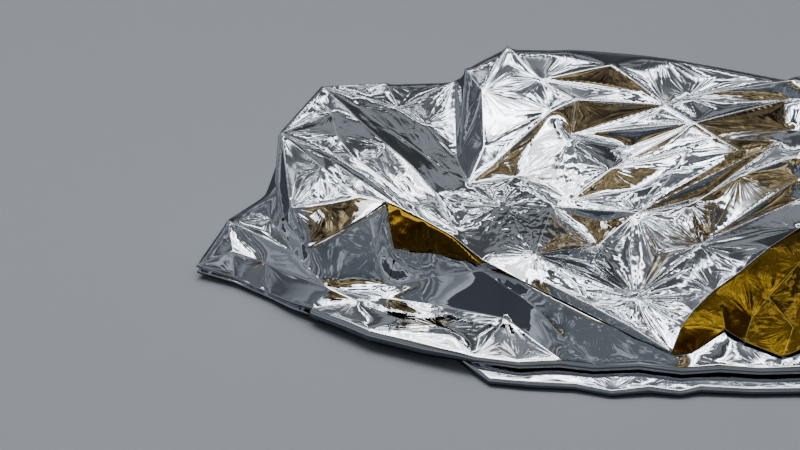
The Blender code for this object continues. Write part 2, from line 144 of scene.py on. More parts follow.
# %% The top ply's left end and front edge
# The left end of the top pair of plies, where they are folded in half, from back to front.
LEFT_CREST = (
    ("crest_peak", -0.221, 0.128, 0.118), ("crest_nose", -0.258, 0.066, 0.100),
    ("crest_side", -0.260, 0.021, 0.076), ("crest_foot", -0.252, -0.026, 0.062),
)
# The top ply's front edge, from the left end to its free corner, and then its free side edge.
TOP_EDGE = (
    ("edge_low", -0.229, -0.064, 0.053), ("edge_rise", -0.201, -0.055, 0.065),
    ("edge_lift", -0.176, -0.049, 0.078), ("edge_hook", -0.160, -0.038, 0.085),
    ("edge_1", -0.148, -0.045, 0.083), ("edge_2", -0.127, -0.060, 0.079),
    ("edge_3", -0.103, -0.082, 0.076), ("edge_4", -0.079, -0.116, 0.073),
    ("edge_5", -0.044, -0.143, 0.067), ("edge_6", -0.013, -0.158, 0.058),
    ("edge_7", 0.019, -0.175, 0.049), ("edge_8", 0.049, -0.186, 0.038),
    ("tip", 0.075, -0.193, 0.030), ("side_1", 0.086, -0.170, 0.042),
    ("side_2", 0.098, -0.153, 0.046), ("side_3", 0.117, -0.130, 0.050),
    ("side_4", 0.143, -0.106, 0.054), ("side_5", 0.176, -0.070, 0.058),
    ("side_6", 0.208, -0.036, 0.057), ("side_7", 0.247, -0.019, 0.072),
    ("side_8", 0.282, 0.006, 0.080), ("side_9", 0.303, 0.053, 0.090),
    ("side_10", 0.312, 0.115, 0.090),
)
print("on the top ply's edge:", len(LEFT_CREST) + len(TOP_EDGE))

# %% The gold ply and the right end
# Ply 1, gold side up: the peek on the left, and the open mouth on the right.
GOLD_PEEK = (
    ("peek_west", -0.153, -0.074, 0.058), ("peek_mid", -0.122, -0.077, 0.056),
)
GOLD_LIP = (
    ("gold_1", 0.093, -0.187, 0.026), ("gold_2", 0.122, -0.168, 0.036),
    ("gold_3", 0.138, -0.174, 0.028), ("gold_4", 0.167, -0.191, 0.024),
    ("gold_5", 0.183, -0.186, 0.029), ("gold_6", 0.232, -0.173, 0.034),
    ("gold_7", 0.278, -0.182, 0.027), ("gold_corner", 0.327, -0.165, 0.032),
)
GOLD_FOLDS = (
    ("gold_ridge", 0.122, -0.147, 0.043), ("gold_dip", 0.148, -0.147, 0.033),
    ("gold_crest", 0.166, -0.122, 0.039), ("gold_fold", 0.180, -0.162, 0.034),
    ("gold_high", 0.200, -0.081, 0.048), ("gold_back", 0.244, -0.081, 0.060),
    ("gold_far", 0.285, -0.125, 0.048), ("gold_rear", 0.291, -0.046, 0.068),
)
RIGHT_END = (
    ("end_1", 0.333, -0.104, 0.048), ("end_2", 0.329, -0.036, 0.066),
    ("end_3", 0.332, 0.034, 0.068), ("end_4", 0.328, 0.110, 0.070),
)
print("on the gold ply:", len(GOLD_PEEK) + len(GOLD_LIP) + len(GOLD_FOLDS) + len(RIGHT_END))

# %% The lower plies
# Ply 2, silver side up, where it shows in front of and below the top pair.
LOWER_FOLDS = (
    ("tip_line", -0.266, -0.005, 0.049), ("pyramid", -0.169, -0.061, 0.047),
    ("pyramid_foot", -0.159, -0.080, 0.023), ("peek_ridge", -0.122, -0.089, 0.038),
    ("slate_west", -0.160, -0.094, 0.020), ("slate", -0.122, -0.102, 0.019),
    ("spoke", -0.058, -0.142, 0.030), ("fin", -0.037, -0.153, 0.051),
    ("fin_low", -0.014, -0.179, 0.036), ("brow", -0.212, -0.090, 0.029),
    ("brow_left", -0.240, -0.057, 0.042), ("strip_crest", -0.104, -0.156, 0.023),
    ("under_1", -0.186, -0.105, 0.025), ("under_2", -0.150, -0.124, 0.020),
    ("under_3", -0.114, -0.138, 0.019),
)
LOWER_LIP = (
    ("lip_3", -0.085, -0.180, 0.018), ("lip_4", -0.049, -0.189, 0.019),
    ("lip_5", -0.016, -0.189, 0.021), ("lip_6", 0.012, -0.193, 0.019),
    ("lip_7", 0.049, -0.193, 0.022), ("lip_8", 0.084, -0.198, 0.019),
    ("lip_9", 0.115, -0.196, 0.021), ("lip_10", 0.148, -0.198, 0.019),
    ("lip_11", 0.185, -0.198, 0.021), ("lip_12", 0.227, -0.198, 0.019),
    ("lip_13", 0.277, -0.195, 0.021), ("lip_corner", 0.330, -0.186, 0.019),
)
# The left tip of plies 2 to 5, past the end of the bottom plies.
TIP_FOLDS = (
    ("tip_peak", -0.306, 0.007, 0.040), ("tip_saddle", -0.298, -0.029, 0.029),
    ("tip_shoulder", -0.274, 0.041, 0.046), ("tip_ridge", -0.269, -0.041, 0.024),
)
TIP_EDGE = (
    ("tip_back", -0.272, 0.104, 0.015), ("tip_side", -0.313, 0.036, 0.015),
    ("tip_point", -0.331, -0.028, 0.014), ("tip_under_1", -0.297, -0.043, 0.011),
    ("tip_under_2", -0.264, -0.068, 0.010), ("tip_under_3", -0.242, -0.089, 0.014),
    ("tip_corner", -0.223, -0.104, 0.016),
)
TIP_LIP = (
    ("lip_0", -0.195, -0.124, 0.018), ("lip_1", -0.173, -0.141, 0.019),
    ("lip_2", -0.127, -0.161, 0.019),
)
# The front fold of plies 6 to 9, which stands a little way out under the fold above it.
BOTTOM_LIP = (
    ("foot_1", -0.073, -0.196, 0.008), ("foot_2", -0.041, -0.201, 0.008),
    ("foot_3", -0.004, -0.204, 0.008), ("foot_4", 0.025, -0.213, 0.007),
    ("foot_5", 0.056, -0.209, 0.009), ("foot_6", 0.081, -0.213, 0.007),
    ("foot_7", 0.098, -0.208, 0.009), ("foot_8", 0.139, -0.211, 0.008),
    ("foot_9", 0.182, -0.210, 0.008), ("foot_10", 0.228, -0.213, 0.007),
    ("foot_11", 0.280, -0.209, 0.008), ("foot_corner", 0.330, -0.202, 0.007),
)
# The back folds of all ten plies, from left to right.
BACK_EDGE = (
    ("back_corner", -0.205, 0.160, 0.062), ("back_1", -0.150, 0.184, 0.066),
    ("back_2", -0.095, 0.180, 0.060), ("back_3", -0.035, 0.196, 0.070),
    ("back_4", 0.025, 0.205, 0.064), ("back_5", 0.085, 0.208, 0.072),
    ("back_6", 0.145, 0.204, 0.062), ("back_7", 0.205, 0.206, 0.070),
    ("back_8", 0.262, 0.196, 0.060), ("back_end", 0.318, 0.188, 0.064),
)
# Each table with the highest ply that its fold points belong to.
TABLES = (
    (TOP_FOLDS, 0), (SEAM_FOLDS, 0), (STEP_FOLDS, 0), (RIDGE_FOLDS, 0), (HEM_FOLDS, 0),
    (SKYLINE_FOLDS, 0), (LEFT_CREST, 0), (TOP_EDGE, 0), (BACK_EDGE, 0),
    (GOLD_PEEK, 1), (GOLD_LIP, 1), (GOLD_FOLDS, 1), (RIGHT_END, 1),
    (LOWER_FOLDS, 2), (LOWER_LIP, 2), (BOTTOM_LIP, 6),
)
TIP_TABLES = (TIP_FOLDS, TIP_EDGE, TIP_LIP)
print("fold points in all:", sum(len(table) for table, _ in TABLES) + sum(map(len, TIP_TABLES)))

# %% [markdown]
# ## Creases and outlines
#
# A crease is a straight, sharp line from one fold point to the next. It could be drawn edge by edge in
# Edit Mode, but a run of names is easier to read, and the crease follows when a point moves. Each ply
# also has an outline, walked round in plan from the back corner at the left.

# %% Creases, each one a run of fold points
CREASES = (
    "saddle east_peak seam_mid seam_low seam_end seam_tail", "saddle step_1 seam_mid",
    "fan seam_mid", "fan step_2 seam_mid", "step_2 seam_low", "crown step_3 seam_low",
    "lens_end knuckle lens_top lens_side step_4 lens_end", "knuckle seam_end", "knuckle seam_low",
    "apron corner east_fold", "corner east_dip east_fold", "corner rib_low east_rib far_band",
    "east_rise far_low", "shoulder east_low", "spark apron", "apron dark_step corner",
    "spark dark_foot corner", "summit saddle", "summit cliff_top cliff_mid valley",
    "valley lens_left lens_right fan", "lens_left lens_low lens_right", "valley cup crown",
    "sky_notch cliff_foot valley", "sky_step cliff_top", "saddle fan",
    "crest_peak ridge_1 ridge_2 ridge_3 ridge_4 ridge_foot",
    "crest_peak pleat_1 pleat_2 pleat_3 pleat_4 valley gather", "ridge_back ridge_dip cliff_foot",
    "crest_peak wedge_1 ridge_back", "crest_peak sky_west ridge_back sky_notch",
    "crest_nose band_1 band_2 band_3 band_4 band_5 ridge_foot",
    "crest_nose fold_1 fold_2 fold_3 fold_4 edge_2", "crest_nose line_1 line_2 line_3 edge_1",
    "crest_nose cheek cheek_low cheek_east", "crest_foot cheek_west cheek_mid cheek_east edge_hook",
    "crest_nose cheek_west",
    "seam_mid spur far_ridge far_dip", "seam_low far_step far_crest", "seam_end far_foot far_fold",
    "hem_left hem_mid hem_right tip", "star shoulder",
    "star side_1", "star hem_mid",
    "edge_hook pyramid pyramid_foot peek_ridge edge_4", "pyramid edge_lift",
    "brow slate_west slate spoke lip_5", "spoke lip_3", "edge_4 fin fin_low lip_6",
    "brow under_1 tip_corner", "lip_1 strip_crest lip_3", "tip_point tip_saddle tip_ridge brow",
    "tip_peak brow_left", "tip_line brow_left brow",
    "tip_peak tip_saddle tip_under_1", "tip_peak tip_shoulder tip_back", "gold_ridge gold_2",
    "gold_dip gold_3", "gold_high gold_crest gold_dip", "gold_crest gold_fold gold_4",
)
print("runs of creases:", len(CREASES))


# %% Outlines of the plies
def names(*tables):
    """The fold points of some tables, as one run of names."""
    return [row[0] for table in tables for row in table]


BACK = names(BACK_EDGE)
END = names(RIGHT_END)
TOP_LEFT = ["back_corner"] + names(LEFT_CREST)
LOWER_LEFT = ["back_corner"] + names(TIP_EDGE)
LOWER_FRONT = ["tip_corner"] + names(TIP_LIP, LOWER_LIP)
BOTTOM_LEFT = TOP_LEFT + ["brow_left", "brow", "under_1"]
BOTTOM_FRONT = ["under_1", "under_2", "under_3", "lip_3"] + names(BOTTOM_LIP)
PEEK = ["cheek_west", "cheek_mid", "cheek_east", "edge_hook", "peek_west", "peek_mid", "edge_4"]
PLY_OUTLINES = {
    0: TOP_LEFT + names(TOP_EDGE) + BACK[:0:-1],
    1: TOP_LEFT + PEEK + ["spark", "star", "tip"] + names(GOLD_LIP) + END + BACK[:0:-1],
}
for ply in (2, 3, 4, 5):
    PLY_OUTLINES[ply] = LOWER_LEFT + LOWER_FRONT[1:] + ["gold_corner"] + END + BACK[:0:-1]
for ply in (6, 7, 8, 9):
    PLY_OUTLINES[ply] = (BOTTOM_LEFT + BOTTOM_FRONT[1:] + ["lip_corner", "gold_corner"] + END
                         + BACK[:0:-1])
print("points round the top ply:", len(PLY_OUTLINES[0]))

# %% [markdown]
# ## From the map to triangles
#
# The facets could be filled by hand between the creases. A constrained Delaunay triangulation does it
# in one call: it keeps every crease as an edge and fills the rest with well-shaped triangles. All plies
# share them, so one ply can never cut through the next.

# %% Heights of the fold points
# Where ply 2 shows from under the top ply's edge, and where the gold ply 1 does, it starts close to it.
CLOSED_EDGE = ["edge_low", "edge_rise", "edge_lift", "edge_5", "edge_6", "edge_7"]
GOLD_EDGE = ["edge_hook", "edge_1", "edge_2", "edge_3"] + [f"side_{i}" for i in range(1, 7)]


def fold_points():
    """Each fold point's place in plan, and its height on each ply that has it."""
    plan, heights = {}, {}
    for table, top_ply in TABLES:
        for name, x, y, height in table:
            plan[name] = Vector((x, y))
            rise = (height - FLOOR_PLY) / PLY_SHARE[top_ply]
            heights[name] = {ply: FLOOR_PLY + rise * PLY_SHARE[ply] for ply in range(PLY_COUNT)}
    for table in TIP_TABLES:
        for name, x, y, height in table:
            plan[name] = Vector((x, y))
            heights[name] = {ply: height * share for ply, share in TIP_SHARE.items()}
    for name in CLOSED_EDGE:
        heights[name][2] = heights[name][0] - CLOSE_GAP
    for name in GOLD_EDGE:
        heights[name][1] = heights[name][0] - CLOSE_GAP
    heights["edge_hook"][2] = heights["edge_hook"][1] - CLOSE_GAP
    return plan, heights


plan, heights = fold_points()
print("highest fold point:", round(max(max(levels.values()) for levels in heights.values()), 3), "m")

# %% Triangles of the map
SLACK = 1e-6                             # metres, or shares, within which two places are one


def crease_pattern(plan):
    """One set of triangles in plan, whose edges follow the creases and every ply's outline."""
    order = list(plan)
    index = {name: i for i, name in enumerate(order)}
    runs = [crease.split() for crease in CREASES]
    runs += [outline + outline[:1] for outline in PLY_OUTLINES.values()]
    edges = {tuple(sorted((index[a], index[b]))) for run in runs for a, b in zip(run, run[1:])}
    result = delaunay_2d_cdt([plan[name] for name in order], sorted(edges), [], 0, SLACK)
    faces, sources = result[2:4]
    return [tuple(order[sources[i][0]] for i in face) for face in faces]


triangles = crease_pattern(plan)
print("triangles in the map:", len(triangles))

# %% [markdown]
# ## Plies
#
# Each ply takes the triangles inside its outline. Every ply could be an object of its own, but the real
# blanket is one sheet, so all of them go into one mesh, where the folds can join them.

# %% Build the plies
bm = bmesh.new()
ply_layer = bm.faces.layers.int.new("ply")
map_layer = bm.faces.layers.int.new("map_triangle")
crease_layer = bm.edges.layers.float.new("crease_edge")


def inside(point, polygon):
    """Whether a point lies inside a closed outline (even-odd rule)."""
    odd = False
    for a, b in zip(polygon, polygon[1:] + polygon[:1]):
        if (a.y > point.y) != (b.y > point.y):
            if point.x < a.x + (point.y - a.y) * (b.x - a.x) / (b.y - a.y):
                odd = not odd
    return odd


def add_ply(ply):
    """One ply's points, by name, and its faces, marked with the ply's number."""
    outline = [plan[name] for name in PLY_OUTLINES[ply]]
    kept = [i for i, middle in enumerate(middles) if inside(middle, outline)]
    used = dict.fromkeys(name for i in kept for name in triangles[i])
    points = {name: bm.verts.new((*plan[name], heights[name][ply])) for name in used}
    for i in kept:
        face = bm.faces.new([points[name] for name in triangles[i]])
        face[ply_layer] = ply
        face[map_layer] = i + 1
    return points


middles = [sum((plan[name] for name in triangle), Vector((0, 0))) / 3 for triangle in triangles]
plies = [add_ply(ply) for ply in range(PLY_COUNT)]
print("faces of the plies:", len(bm.faces))

# %% [markdown]
# ## Half-folds and length folds
#
# Where film turns back on itself it makes a small round, not a sharp edge. A Bevel modifier could round
# a sharp edge, but here two separate plies have to be joined, so each fold is a half round of its own.
# At the left end of a pair the sheet is folded in half. The length folds, at the front and the back,
# take both plies of a pair round together: one outside, and one inside.

# %% The round of a fold
BEND_STEPS = 4                           # flats round a fold
FOLD_ROUNDNESS = 0.42                    # a fold's bulge, as a share of the height that it spans
LEAST_BULGE = 0.0009                     # how far the tightest fold stands out past its plies
WIDEST_BULGE = 0.011


def outward(run, side):
    """The direction that leads out of the heap at each point of a fold, in plan."""
    directions = []
    for i in range(len(run)):
        along = plan[run[min(i + 1, len(run) - 1)]] - plan[run[max(i - 1, 0)]]
        directions.append(Vector((along.y, -along.x)).normalized() * side)
    return directions


def off_the_end(run):
    """The direction that leads past the first point of a fold, in line with it."""
    return (plan[run[0]] - plan[run[1]]).normalized()


def add_fold(upper, lower, directions, ply):
    """Join two rows of points with a round fold, and return its columns of points."""
    columns = []
    for top, bottom, way in zip(upper, lower, directions):
        span = top.co.z - bottom.co.z
        bulge = min(max(FOLD_ROUNDNESS * span, LEAST_BULGE), WIDEST_BULGE)
        column = [top]
        for step in range(1, BEND_STEPS):
            angle = math.pi * step / BEND_STEPS
            spot = top.co.lerp(bottom.co, (1 - math.cos(angle)) / 2)
            spot.xy += way * bulge * math.sin(angle)
            column.append(bm.verts.new(spot))
        columns.append(column + [bottom])
    for left, right in zip(columns, columns[1:]):
        for step in range(BEND_STEPS):
            corners = (left[step], left[step + 1], right[step + 1], right[step])
            bm.faces.new(corners)[ply_layer] = PLY_COUNT + ply
    return columns


print("flats round each fold:", BEND_STEPS)

# %% Join the plies
HALF_FOLDS = (                           # ply above, ply below, left end, front that it runs on into
    (0, 1, TOP_LEFT, None), (2, 3, LOWER_LEFT, LOWER_FRONT), (4, 5, LOWER_LEFT, LOWER_FRONT),
    (6, 7, BOTTOM_LEFT, BOTTOM_FRONT), (8, 9, BOTTOM_LEFT, BOTTOM_FRONT),
)
LENGTH_FOLDS = (                         # outer and inner ply above, inner and outer ply below, run
    (0, 1, 2, 3, BACK), (2, 3, 4, 5, LOWER_FRONT), (4, 5, 6, 7, BACK), (6, 7, 8, 9, BOTTOM_FRONT),
)

half_folds = {}
for above, below, run, front_run in HALF_FOLDS:
    directions = outward(run, 1)
    directions[0] = off_the_end(BACK)
    if front_run:
        directions[-1] = off_the_end(front_run)
    upper = [plies[above][name] for name in run]
    lower = [plies[below][name] for name in run]
    half_folds[above] = add_fold(upper, lower, directions, above)

for outer_above, inner_above, inner_below, outer_below, run in LENGTH_FOLDS:
    at_back = run is BACK
    directions = outward(run, -1 if at_back else 1)
    corner = 0 if at_back else -1
    above = half_folds[outer_above][corner][1:-1]
    below = half_folds[inner_below][corner][1:-1]
    upper = [plies[outer_above][name] for name in run[::-1]] + above
    upper += [plies[inner_above][name] for name in run]
    lower = [plies[outer_below][name] for name in run[::-1]] + below[::-1]
    lower += [plies[inner_below][name] for name in run]
    add_fold(upper, lower, directions[::-1] + [directions[0]] * len(above) + directions, outer_above)

bmesh.ops.recalc_face_normals(bm, faces=bm.faces)
print("coarse sheet:", len(bm.verts), "points,", len(bm.faces), "faces")

# %% [markdown]
# ## Crease widths
#
# A crease in real film is a crushed line, and the folds that were pressed hardest leave the broadest
# lines. One Bevel modifier would give all of them the same width. So each run of creases has a half
# width of its own, which is kept on its edges until the fine mesh is made.

# %% Mark the creases
CREASED_PLIES = 3                        # the plies that show, whose creases are marked
NARROW_CREASE = 0.0009                   # half the width of a crease's round ridge
BROAD_CREASES = (                        # run of fold points, half width
    ("east_peak seam_mid seam_low seam_end seam_tail", 0.0021),
    ("crest_peak ridge_1 ridge_2 ridge_3 ridge_4 ridge_foot", 0.0014),
    ("crest_peak pleat_1 pleat_2 pleat_3 pleat_4 valley", 0.0013),
    ("crest_peak wedge_1 ridge_back ridge_dip cliff_foot", 0.0013),
    ("crest_nose band_1 band_2 band_3 band_4 band_5 ridge_foot", 0.0013),
    ("crest_nose fold_1 fold_2 fold_3 fold_4 edge_2", 0.0013),
    ("crest_nose line_1 line_2 line_3 edge_1", 0.0013), ("crest_nose cheek_west", 0.0013),
    ("cheek_west cheek_mid cheek_east edge_hook", 0.0014), ("seam_low far_step", 0.0013),
    ("summit cliff_top cliff_mid valley", 0.0014), ("valley lens_left lens_right fan", 0.0014),
    ("saddle step_1 seam_mid fan step_2 seam_low", 0.0014), ("knuckle seam_end", 0.0013),
    ("lens_end knuckle lens_top lens_side step_4 lens_end", 0.0013), ("star shoulder", 0.0014),
    ("apron corner east_fold", 0.0014), ("corner rib_low east_rib far_band", 0.0013),
    ("east_rise far_low", 0.0013), ("hem_left hem_mid hem_right tip", 0.0014),
    ("peek_ridge pyramid_foot pyramid", 0.0014), ("edge_4 fin fin_low", 0.0013),
    ("tip_point tip_saddle tip_ridge brow", 0.0013), ("tip_peak brow_left brow", 0.0013),
)

half_widths = dict.fromkeys(CREASES, NARROW_CREASE) | dict(BROAD_CREASES)
for crease, half_width in half_widths.items():
    run = crease.split()
    for points in plies[:CREASED_PLIES]:
        for a, b in zip(run, run[1:]):
            if a in points and b in points:
                edge = bm.edges.get((points[a], points[b]))
                if edge:
                    edge[crease_layer] = max(edge[crease_layer], half_width)
print("edges with a crease:", sum(edge[crease_layer] > 0 for edge in bm.edges))

# %% [markdown]
# ## Fine mesh
#
# Film bends in smooth, tight curves between its creases. A Subdivision Surface modifier would cut the
# hidden plies as finely as the top one, and would round the creases off. So only what can be seen is
# cut finely: long edges are halved, again and again, until they are short enough. The creases stay
# where they are, and every other point relaxes towards its neighbours.

# %% Cut the visible plies finely
NEAR_EDGE = 0.0040                       # longest edge on the plies that face the viewer
FAR_EDGE = 0.009                         # longest edge on the right end and the back slope
FAR_X = 0.23                             # where the right end begins
FAR_Y = 0.15                             # where the back slope begins
NEAR_COARSER = 1.2                       # the edges of plies 1 and 2, as a share of the top ply's
FAR_COARSER = 2
CUT_ROUNDS = 8


def shown_length(face):
    """The longest edge that a face may keep, or none where nothing of it can be seen."""
    ply = face[ply_layer]
    middle = face.calc_center_median()
    far = middle.x > FAR_X or middle.y > FAR_Y
    if ply == 0:
        return FAR_EDGE if far else NEAR_EDGE
    if ply in (1, 2) and not inside(middle.xy, top_outline):
        return FAR_COARSER * FAR_EDGE if far else NEAR_COARSER * NEAR_EDGE
    return None


top_outline = [plan[name] for name in PLY_OUTLINES[0]]
for _ in range(CUT_ROUNDS):
    long_edges = set()
    for face in bm.faces:
        longest = shown_length(face)
        if longest:
            long_edges.update(edge for edge in face.edges if edge.calc_length() > longest)
    if not long_edges:
        break
    bmesh.ops.subdivide_edges(bm, edges=list(long_edges), cuts=1)
    bmesh.ops.triangulate(bm, faces=[face for face in bm.faces if len(face.verts) > 4])
bmesh.ops.triangulate(bm, faces=bm.faces)
bm.verts.index_update()
bm.faces.index_update()
print("fine sheet:", len(bm.verts), "points,", len(bm.faces), "faces")

# %% Relax the facets
RELAX_ROUNDS = 10
EDGE_HIGHLIGHT = 0.0008                       # half the width of the round band along a cut edge, which gets a crease's painted highlight

spots = np.array([v.co[:] for v in bm.verts])
ends = np.array([[v.index for v in e.verts] for e in bm.edges])
half_width = np.array([e[crease_layer] for e in bm.edges])
half_width[np.array([e.is_boundary for e in bm.edges])] = EDGE_HIGHLIGHT
sheet_ply = np.full(len(spots), -1)      # the shown ply that a point belongs to
settled = np.zeros(len(spots), bool)     # points that a hidden face shares, which stay where they are
for face in bm.faces:
    corners = [v.index for v in face.verts]
    if shown_length(face):
        sheet_ply[corners] = face[ply_layer]
    else:
        settled[corners] = True
ridge = np.zeros(len(spots))             # half width of the broadest crease at each point
np.maximum.at(ridge, ends.ravel(), np.repeat(half_width, 2))
free = (sheet_ply >= 0) & ~settled & (ridge == 0)
neighbours = np.zeros(len(spots))
np.add.at(neighbours, ends.ravel(), 1)
for _ in range(RELAX_ROUNDS):
    total = np.zeros_like(spots)
    np.add.at(total, ends[:, 0], spots[ends[:, 1]])
    np.add.at(total, ends[:, 1], spots[ends[:, 0]])
    spots[free] = total[free] / neighbours[free, None]
print("points that relax:", int(free.sum()))

# %% Tighten the creases
LEAST_PINCHED = 0.0006                   # half the width of a crease that isn't pinched up at all
CREASE_PINCH = 0.30                      # the rise of a wider crease, as a share of what it has more

# The points next to a crease move close to it, so that the crease stays a tight, round ridge.
closest = np.full(len(spots), np.inf)
anchor = np.zeros(len(spots), int)
for near, far in ((0, 1), (1, 0)):
    pairs = np.flatnonzero(free[ends[:, near]] & (ridge[ends[:, far]] > 0))
    lengths = np.linalg.norm(spots[ends[pairs, near]] - spots[ends[pairs, far]], axis=1)
    for pair, length in zip(pairs, lengths):
        index = ends[pair, near]
        if length < closest[index]:
            closest[index] = length
            anchor[index] = ends[pair, far]
beside = np.flatnonzero(np.isfinite(closest))
pull = np.minimum(ridge[anchor[beside]] / closest[beside], 1)
spots[beside] = spots[anchor[beside]] + (spots[beside] - spots[anchor[beside]]) * pull[:, None]
# A crease stands up a little, as a pinched line does, and a broad one the most.
spots[:, 2] += np.maximum(ridge - LEAST_PINCHED, 0) * CREASE_PINCH
print("points beside a crease:", len(beside))

# %% [markdown]
# ## Crumples
#
# Thin film can bend but it can't stretch. From every peak or valley it fans out in straight folds that
# all point at the peak, like the folds of a paper fan. Plain noise could roughen the facets, but its
# bumps point nowhere. So each fold point gets its own ring of rays, some up and some down, which die
# away towards the next point. The places that were squeezed hardest get small random facets as well.

# %% Rays round each fold point
CRUMPLE_TABLE = (                        # point, rays round it, steepness of the rays, small facets
    ("spark", 28, 0.16, 0.6), ("gather", 24, 0.14, 0.9), ("apron", 16, 0.05, 0.3),
    ("crown", 14, 0.07, 0.3), ("knuckle", 16, 0.10, 0.2), ("star", 24, 0.22, 0.1),
    ("corner", 16, 0.10, 0.2), ("dark_foot", 18, 0.08, 0.3), ("shoulder", 14, 0.09, 0.1),
    ("dark_step", 16, 0.10, 0.5), ("lens_end", 14, 0.10, 0.3), ("cup", 14, 0.07, 0.3),
    ("crest_nose", 16, 0.10, 0.0), ("crest_peak", 14, 0.08, 0.0), ("summit", 10, 0.05, 0.0),
    ("saddle", 10, 0.04, 0.0), ("cheek_west", 16, 0.12, 0.0), ("cheek_mid", 10, 0.06, 0.0),
    ("ridge_foot", 16, 0.06, 0.1), ("ridge_4", 12, 0.03, 0.0), ("pleat_4", 12, 0.04, 0.1),
    ("hem_mid", 12, 0.08, 0.1), ("hem_right", 14, 0.12, 0.2), ("east_rise", 12, 0.09, 0.1),
    ("rib_low", 12, 0.10, 0.1), ("pyramid_foot", 14, 0.08, 0.1), ("under_3", 12, 0.04, 0.2),
    ("under_2", 12, 0.03, 0.05), ("lip_4", 14, 0.05, 0.1), ("spoke", 14, 0.05, 0.1),
    ("gold_crest", 20, 0.14, 0.3), ("gold_ridge", 20, 0.14, 0.3), ("gold_dip", 18, 0.14, 0.2),
    ("gold_fold", 16, 0.12, 0.2), ("gold_high", 14, 0.12, 0.2), ("peek_mid", 20, 0.20, 0.8),
    ("peek_west", 18, 0.20, 0.8), ("slate", 6, 0.015, 0.0), ("slate_west", 6, 0.02, 0.0),
    ("pyramid", 8, 0.03, 0.0), ("brow", 6, 0.02, 0.0), ("edge_low", 6, 0.02, 0.0),
    ("edge_rise", 6, 0.02, 0.0), ("peek_ridge", 8, 0.04, 0.1), ("edge_4", 8, 0.03, 0.0),
    ("tip_peak", 18, 0.12, 0.0), ("tip_saddle", 14, 0.10, 0.0), ("tip_ridge", 12, 0.08, 0.1),
)
PLAIN_CRUMPLE = (9, 0.045, 0.03)         # the same for every other fold point
LEAST_RAY = 0.3                          # the lowest ray's height, as a share of the highest one's
CRUMPLE_SEED = 41

random.seed(CRUMPLE_SEED)
crumple_rows = {name: rest for name, *rest in CRUMPLE_TABLE}
fans = {}
for name in plan:
    rays, steepness, facets = crumple_rows.get(name, PLAIN_CRUMPLE)
    angles = sorted(random.uniform(0, 2 * math.pi) for _ in range(rays))
    rises = [random.uniform(LEAST_RAY, 1.0) * (-1) ** i * steepness * math.pi / rays
             for i in range(rays)]
    fans[name] = (np.array(angles), np.array(rises), facets, steepness)
print("rays:", sum(len(fan[0]) for fan in fans.values()))

# %% Fan folds
shown = np.flatnonzero((sheet_ply >= 0) & ~settled)
places = spots[shown, :2]
lift = np.zeros(len(shown))
crumple = np.zeros(len(spots))           # how much of the small facets each point has
streak = np.zeros(len(spots))            # how much it belongs to the long ridges of the left side
ridge_names = {name for name, *_ in RIDGE_FOLDS}
claimed = np.zeros(len(shown), bool)
for triangle in triangles:
    a, b, c = (np.array(plan[name]) for name in triangle)
    base = np.linalg.inv(np.array([b - a, c - a]).T)
    low, high = np.min([a, b, c], axis=0) - SLACK, np.max([a, b, c], axis=0) + SLACK
    near = np.flatnonzero(~claimed & np.all((places >= low) & (places <= high), axis=1))
    weights = (base @ (places[near] - a).T).T
    weights = np.column_stack([1 - weights.sum(axis=1), weights])
    hit = np.all(weights > -SLACK, axis=1)
    near, weights = near[hit], weights[hit]
    claimed[near] = True
    for corner, name in enumerate(triangle):
        angles, rises, facets, _ = fans[name]
        away = places[near] - np.array(plan[name])
        reach = np.hypot(away[:, 0], away[:, 1])
        turn = np.arctan2(away[:, 1], away[:, 0])
        share = np.clip(weights[:, corner], 0, 1)
        window = share * share * (3 - 2 * share)
        lift[near] += window * reach * np.interp(turn, angles, rises, period=2 * math.pi)
        crumple[shown[near]] += share * facets
        streak[shown[near]] += share * (name in ridge_names)
print("highest fan fold:", round(float(np.abs(lift).max()) * 1000, 2), "mm")

# %% Small facets
FACET_SIZE = 0.011
FACET_HEIGHT = 0.0011
PLY_CRUMPLE = np.array([1.0, 0.8, 0.6])  # how much of its crumples ply 0, 1 or 2 takes on

for i, index in enumerate(shown):
    place = Vector((*places[i], 0)) / FACET_SIZE
    distances, _ = noise.voronoi(place, distance_metric='MANHATTAN')
    lift[i] += FACET_HEIGHT * crumple[index] * (distances[1] - distances[0] - 0.5)
spots[shown, 2] += lift * PLY_CRUMPLE[sheet_ply[shown]]
print("largest crumple:", round(float(np.abs(lift).max()) * 1000, 2), "mm")

# %% [markdown]
# ## Film finish
#
# Metallised film is a mirror that is never flat. A smooth mirror would look like sheet metal, and a
# rough one like paper. So its base is a metal with a low roughness, and small crumples turn its normals
# a little, so that each facet mirrors the room in broken pieces. Along a crease the film is a little
# rougher and less metallic, and its colour is painted paler: a painted highlight, the bright line that a
# rounded ridge catches.

# %% Helpers for shader nodes
def new_group(name, inputs, outputs):
    """A shader node group with named sockets. An input with no number is a vector."""
    group = bpy.data.node_groups.new(name, "ShaderNodeTree")
    for label, value in inputs:
        kind = 'NodeSocketVector' if value is None else 'NodeSocketFloat'
        socket = group.interface.new_socket(label, in_out='INPUT', socket_type=kind)
        if value is not None:
            socket.default_value = value
    for label in outputs:
        group.interface.new_socket(label, in_out='OUTPUT', socket_type='NodeSocketFloat')
    return group, group.nodes.new("NodeGroupInput"), group.nodes.new("NodeGroupOutput")


def feed(links, socket, value):
    """Give a socket its number, colour or link."""
    if isinstance(value, (int, float, tuple)):
        socket.default_value = value
    else:
        links.new(value, socket)


def math_node(nodes, links, operation, *values):
    """A Math node whose inputs are numbers or sockets."""
    node = nodes.new("ShaderNodeMath")
    node.operation = operation
    for socket, value in zip(node.inputs, values):
        feed(links, socket, value)
    return node.outputs[0]


def vector_node(nodes, links, operation, *values):
    """A Vector Math node whose inputs are vectors or sockets."""
    node = nodes.new("ShaderNodeVectorMath")
    node.operation = operation
    for socket, value in zip(node.inputs, values):
        feed(links, socket, value)
    return node.outputs["Value" if operation == 'LENGTH' else "Vector"]


